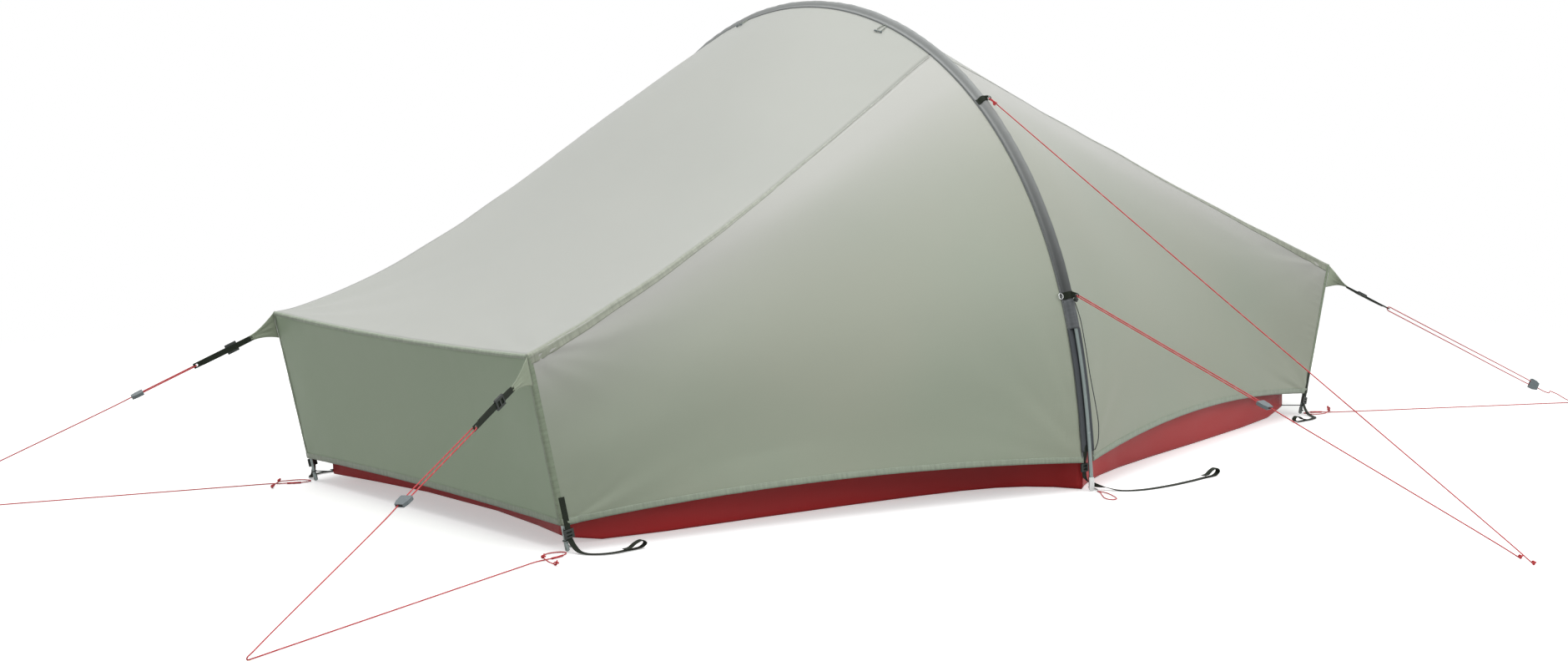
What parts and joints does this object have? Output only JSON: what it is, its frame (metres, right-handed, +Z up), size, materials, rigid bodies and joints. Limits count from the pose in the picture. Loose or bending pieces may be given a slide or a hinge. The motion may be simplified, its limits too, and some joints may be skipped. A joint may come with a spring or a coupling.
{
  "type": "backpacking tent",
  "caption": "Low tunnel-shaped trekking tent on one arch pole, with sloping ends, corner struts, guy lines, a side door and an inner tent on a tub floor.",
  "frame": {"origin": "on the ground below the middle of the tent's length and of its width over the strap tails, in the arch's plane", "axes": "+X along the tent's length towards its rear end, +Y across it towards the door side, +Z up"},
  "size_m": [3.8414, 2.8608, 1.058],
  "materials": {
    "fly_cloth": "satin",
    "door_cloth": "satin",
    "sleeve_cloth": "matte",
    "groundsheet": "satin",
    "inner_cloth": "matte",
    "webbing": "matte",
    "red_cord": "matte",
    "dark_cord": "matte",
    "elastic": "matte",
    "pole_alloy": "satin",
    "bright_alloy": "satin",
    "dark_plastic": "satin",
    "lock_plastic": "satin"
  },
  "bodies": {
    "tent": {"fly_front_roof": "fly_cloth", "fly_rear_roof": "fly_cloth", "fly_front_side_near": "fly_cloth", "fly_rear_side_near": "fly_cloth", "fly_front_side_far": "fly_cloth", "fly_rear_side_far": "fly_cloth", "fly_front_end": "fly_cloth", "fly_rear_end": "fly_cloth", "pole_sleeve": "sleeve_cloth", "arch_pole_near": "pole_alloy", "arch_pole_top": "pole_alloy", "arch_pole_far": "pole_alloy", "arch_foot_near": "bright_alloy", "arch_foot_far": "bright_alloy", "corner_strut_front_near": "bright_alloy", "corner_strap_front_near": "webbing", "corner_buckle_front_near": "dark_plastic", "foot_strap_front_near": "webbing", "foot_buckle_front_near": "dark_plastic", "corner_strut_front_far": "bright_alloy", "corner_strap_front_far": "webbing", "corner_buckle_front_far": "dark_plastic", "foot_strap_front_far": "webbing", "foot_buckle_front_far": "dark_plastic", "corner_strut_rear_near": "bright_alloy", "corner_strap_rear_near": "webbing", "corner_buckle_rear_near": "dark_plastic", "foot_strap_rear_near": "webbing", "foot_buckle_rear_near": "dark_plastic", "corner_strut_rear_far": "bright_alloy", "corner_strap_rear_far": "webbing", "corner_buckle_rear_far": "dark_plastic", "foot_strap_rear_far": "webbing", "foot_buckle_rear_far": "dark_plastic", "foot_strap_arch_near": "webbing", "foot_buckle_arch_near": "dark_plastic", "arch_band_high_near": "webbing", "arch_band_mid_near": "webbing", "foot_strap_arch_far": "webbing", "foot_buckle_arch_far": "dark_plastic", "arch_band_high_far": "webbing", "arch_band_mid_far": "webbing", "corner_cord_front_near": "red_cord", "corner_cord_front_far": "red_cord", "corner_cord_rear_near": "red_cord", "arch_cord_high": "red_cord", "arch_cord_mid": "red_cord", "arch_foot_loop": "red_cord", "puller_cord": "dark_cord", "inner_floor": "groundsheet", "inner_canopy": "inner_cloth"},
    "fly_door": {"fly_door": "door_cloth"},
    "zip_slider": {"zip_slider": "bright_alloy"},
    "toggle_near": {"toggle_near": "elastic"},
    "toggle_far": {"toggle_far": "elastic"},
    "line_lock_front_near": {"line_lock_front_near": "lock_plastic"},
    "line_lock_front_far": {"line_lock_front_far": "lock_plastic"},
    "line_lock_rear_near": {"line_lock_rear_near": "lock_plastic"},
    "line_lock_arch": {"line_lock_arch": "lock_plastic"}
  },
  "joints": [
    {"name": "door_fold", "type": "hinge", "parent": "tent", "child": "fly_door", "pos_m": [-1.19011, 0.34584, 0.05352], "axis": [0.8006, 0.0496, 0.5972], "range_deg": [0, 95]},
    {"name": "zip_travel", "type": "hinge", "parent": "fly_door", "child": "zip_slider", "pos_m": [-0.02382, -0.40257, 0.00775], "axis": [1, 0, 0], "range_deg": [0, 18.6]},
    {"name": "toggle_near_turn", "type": "hinge", "parent": "tent", "child": "toggle_near", "pos_m": [-0.0168, -0.27334, 0.99883], "axis": [-0.2379, 0.9468, 0.2166], "range_deg": [0, 115]},
    {"name": "toggle_far_turn", "type": "hinge", "parent": "tent", "child": "toggle_far", "pos_m": [-0.01694, 0.21261, 1.01763], "axis": [0.0432, 0.9705, -0.2372], "range_deg": [0, 115]},
    {"name": "lock_front_near_slide", "type": "slide", "parent": "tent", "child": "line_lock_front_near", "axis": [0.8535, 0.3174, 0.4132], "range_m": [0, 0.2]},
    {"name": "lock_front_far_slide", "type": "slide", "parent": "tent", "child": "line_lock_front_far", "axis": [0.8535, -0.3174, 0.4132], "range_m": [0, 0.105]},
    {"name": "lock_rear_near_slide", "type": "slide", "parent": "tent", "child": "line_lock_rear_near", "axis": [-0.746, 0.4854, 0.4558], "range_m": [0, 0.44]},
    {"name": "lock_arch_slide", "type": "slide", "parent": "tent", "child": "line_lock_arch", "axis": [-0.0588, 0.928, 0.3679], "range_m": [0, 0.47]}
  ]
}
